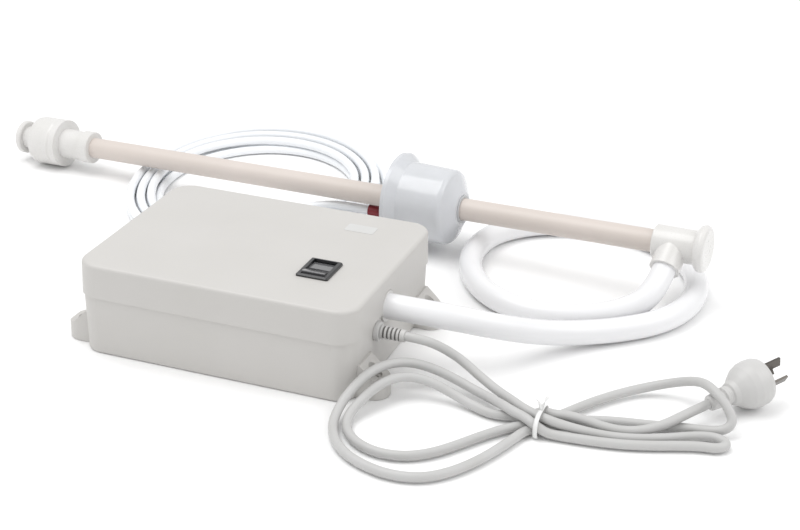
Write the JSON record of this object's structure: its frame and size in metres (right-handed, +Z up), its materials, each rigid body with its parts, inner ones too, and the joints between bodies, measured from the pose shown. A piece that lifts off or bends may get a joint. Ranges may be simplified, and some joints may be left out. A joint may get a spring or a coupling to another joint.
{
  "type": "bottled water dispensing pump system",
  "caption": "Water dispensing pump in a two-shell case with mounting ears, rocker switch and mains cord, hose, suction wand with bottle cap and foot valve, and a coil of tube.",
  "frame": {"origin": "middle of the case's base, on the surface it stands on", "axes": "+Z up; +X towards the end of the case where hose and cord leave; -Y the case's front"},
  "size_m": [0.7672, 0.5721, 0.0809],
  "materials": {
    "case_plastic": "fine satin moulding",
    "black_plastic": "satin black",
    "white_fitting": "smooth satin moulding",
    "cap_plastic": "glossy, slightly translucent",
    "wand_plastic": "cream extruded tube",
    "hose_vinyl": "soft glossy vinyl",
    "milky_tube": "milky translucent",
    "cord_pvc": "soft matte PVC",
    "red_cap": "dark crimson",
    "steel": "drawn steel",
    "brass": "plain",
    "copper": "wound laminations",
    "rubber": "soft black rubber",
    "board": "coated laminate",
    "dark_metal": "dark"
  },
  "bodies": {
    "root": {"base_shell": "case_plastic", "lid_shell": "case_plastic", "case_screws": "steel", "rating_plate": "case_plastic", "switch_body": "black_plastic", "switch_terminals": "brass", "strain_relief": "cord_pvc", "hose_inlet": "white_fitting", "motor_can": "steel", "motor_end_bell": "black_plastic", "front_bearing": "steel", "rear_bearing": "steel", "motor_magnets": "dark_metal", "pump_cam_housing": "black_plastic", "diaphragm": "rubber", "valve_plate": "white_fitting", "pump_head": "black_plastic", "pump_screws": "steel", "pressure_switch": "black_plastic", "pump_bracket": "steel", "rubber_mounts": "rubber", "internal_suction_tube": "milky_tube", "outlet_link": "rubber", "outlet_elbow": "white_fitting", "discharge_tube": "milky_tube", "tube_coil": "milky_tube", "tube_tail": "milky_tube", "tube_end_cap": "red_cap", "suction_hose": "hose_vinyl", "control_board": "board", "transformer": "copper", "capacitors": "black_plastic", "terminal_block": "board", "fuse_holder": "black_plastic", "wand_tube": "wand_plastic", "foot_strainer": "white_fitting", "foot_body": "white_fitting", "foot_sleeve": "white_fitting", "hose_elbow": "white_fitting", "elbow_flange": "white_fitting", "plug_body": "cord_pvc", "plug_pins": "dark_metal", "power_cord": "cord_pvc", "power_cord_end": "cord_pvc", "power_cord_hank": "cord_pvc", "cord_tie": "white_fitting"},
    "rocker": {"switch_rocker": "black_plastic"},
    "rotor": {"rotor_shaft": "steel", "rotor_core": "copper", "commutator": "brass", "wobble_cam": "steel"},
    "cap_carrier": {"cap_grommet": "rubber"},
    "cap": {"bottle_cap": "cap_plastic"},
    "float": {"float_ring": "wand_plastic"},
    "poppet": {"check_poppet": "rubber"},
    "collet": {"tube_collet": "white_fitting"}
  },
  "joints": [
    {"name": "rocker_tilt", "type": "hinge", "parent": "root", "child": "rocker", "pos_m": [0.0618, -0.027, 0.071], "axis": [1, 0, 0], "range_deg": [0, 18]},
    {"name": "rotor_spin", "type": "hinge", "parent": "root", "child": "rotor", "pos_m": [0, 0.036, 0.031], "axis": [1, 0, 0], "continuous": true},
    {"name": "cap_slide", "type": "slide", "parent": "root", "child": "cap_carrier", "axis": [0.9935, -0.1043, 0.0454], "range_m": [-0.01, 0.006]},
    {"name": "cap_spin", "type": "hinge", "parent": "cap_carrier", "child": "cap", "pos_m": [0.09251, 0.19361, 0.04259], "axis": [0.9935, -0.1043, 0.0454], "continuous": true},
    {"name": "float_slide", "type": "slide", "parent": "root", "child": "float", "axis": [0.9935, -0.1043, 0.0454], "range_m": [0, 0.009]},
    {"name": "poppet_slide", "type": "slide", "parent": "root", "child": "poppet", "axis": [0.9935, -0.1043, 0.0454], "range_m": [0, 0.003]},
    {"name": "collet_push", "type": "slide", "parent": "root", "child": "collet", "axis": [-1, 0, 0], "range_m": [0, 0.0015], "stiffness_N_per_m": 800, "springref_m": -0.001}
  ]
}
